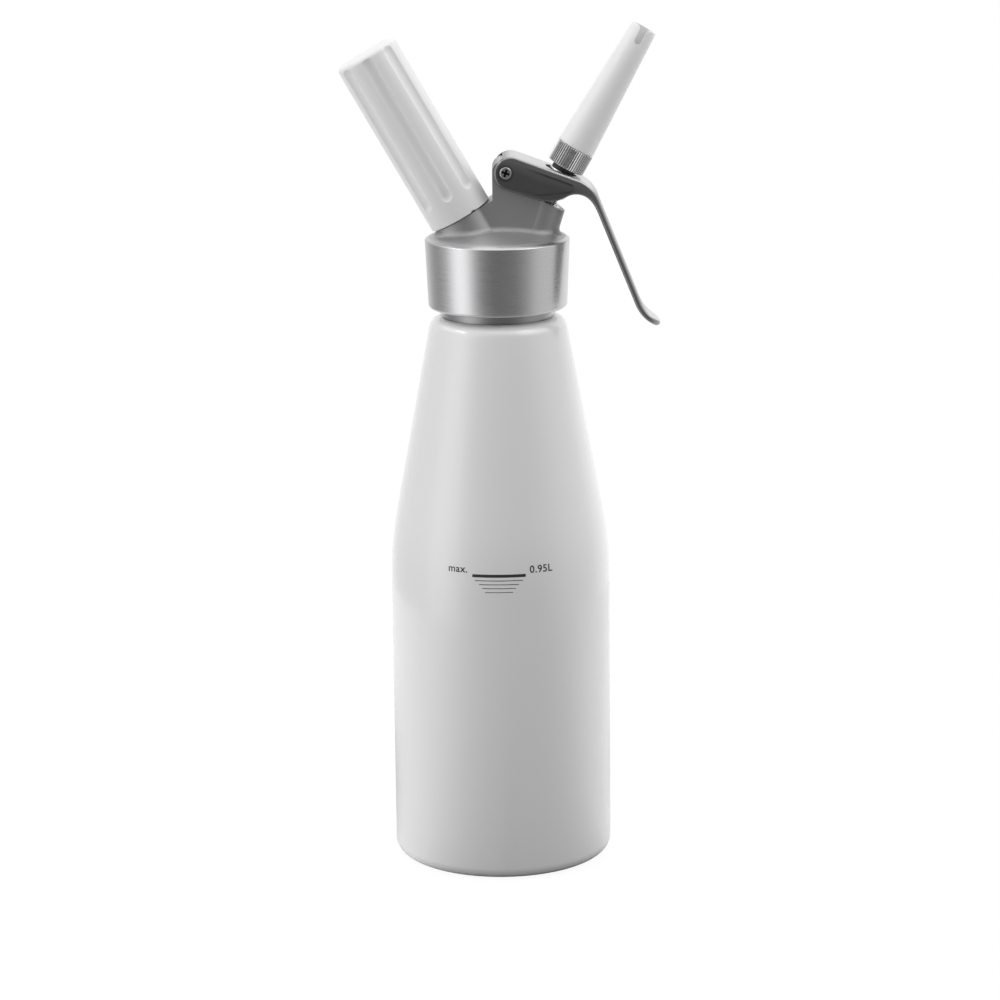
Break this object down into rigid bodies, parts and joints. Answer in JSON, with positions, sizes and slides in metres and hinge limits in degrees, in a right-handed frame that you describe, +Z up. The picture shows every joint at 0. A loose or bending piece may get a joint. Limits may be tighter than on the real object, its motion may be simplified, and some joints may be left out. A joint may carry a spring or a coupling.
{
  "type": "whipped cream dispenser",
  "caption": "Tall lacquered bottle with a screwed-on metal head that carries a gas charger holder and a lever-pressed valve with a decorating tip.",
  "frame": {"origin": "centre of the bottle's foot, on the surface that it stands on", "axes": "+Z up along the bottle's axis, +X towards the lever's grip, -Y to the viewer"},
  "size_m": [0.1383, 0.097, 0.3717],
  "materials": {
    "bottle_lacquer": "glossy white lacquer on aluminium, bare metal at the neck",
    "head_metal": "satin cast metal with a brushed turned skirt",
    "lever_metal": "dark metallic grey, satin",
    "seal_rubber": "matte black",
    "plated_steel": "turned, bright",
    "chrome_parts": "polished",
    "knurled_steel": "straight knurl",
    "screw_steel": "plated, cross recess",
    "spring_steel": "drawn wire",
    "washer_plastic": "pale thrust washer",
    "white_plastic": "satin white moulding"
  },
  "bodies": {
    "bottle": {"bottle": "bottle_lacquer"},
    "head": {"head_housing": "head_metal", "head_gasket": "seal_rubber", "pierce_pin": "plated_steel", "charger_seal": "seal_rubber", "check_valve": "plated_steel", "pivot_screws": "screw_steel", "pivot_washers": "washer_plastic", "valve_guide": "plated_steel", "guide_o_ring": "seal_rubber", "return_spring": "spring_steel"},
    "lever": {"lever": "lever_metal"},
    "valve": {"valve_stem": "chrome_parts", "tip_washer": "chrome_parts", "tip_seal": "seal_rubber", "tip_adapter": "knurled_steel", "valve_seal": "seal_rubber", "valve_washer": "plated_steel", "valve_nut": "plated_steel"},
    "tip": {"tip_nozzle": "white_plastic"},
    "charger_holder": {"holder_shell": "white_plastic", "holder_insert": "plated_steel"}
  },
  "joints": [
    {"name": "head_lift", "type": "slide", "parent": "bottle", "child": "head", "axis": [0, 0, 1], "range_m": [0, 0.06]},
    {"name": "lever_press", "type": "hinge", "parent": "head", "child": "lever", "pos_m": [0.0039, 0, 0.3082], "axis": [0, 1, 0], "range_deg": [0, 9.5], "stiffness_Nm_per_rad": 1.5, "springref_deg": -5.73},
    {"name": "valve_travel", "type": "slide", "parent": "head", "child": "valve", "axis": [-0.5, 0, -0.866], "range_m": [0, 0.0037], "deforming": ["return_spring"]},
    {"name": "tip_lift", "type": "slide", "parent": "valve", "child": "tip", "axis": [0.5, 0, 0.866], "range_m": [0, 0.04]},
    {"name": "holder_lift", "type": "slide", "parent": "head", "child": "charger_holder", "axis": [-0.4955, 0, 0.8686], "range_m": [0, 0.04]}
  ],
  "couplings": [
    {"joint": "valve_travel", "follows": "lever_press", "m_per_rad": 0.0221}
  ]
}
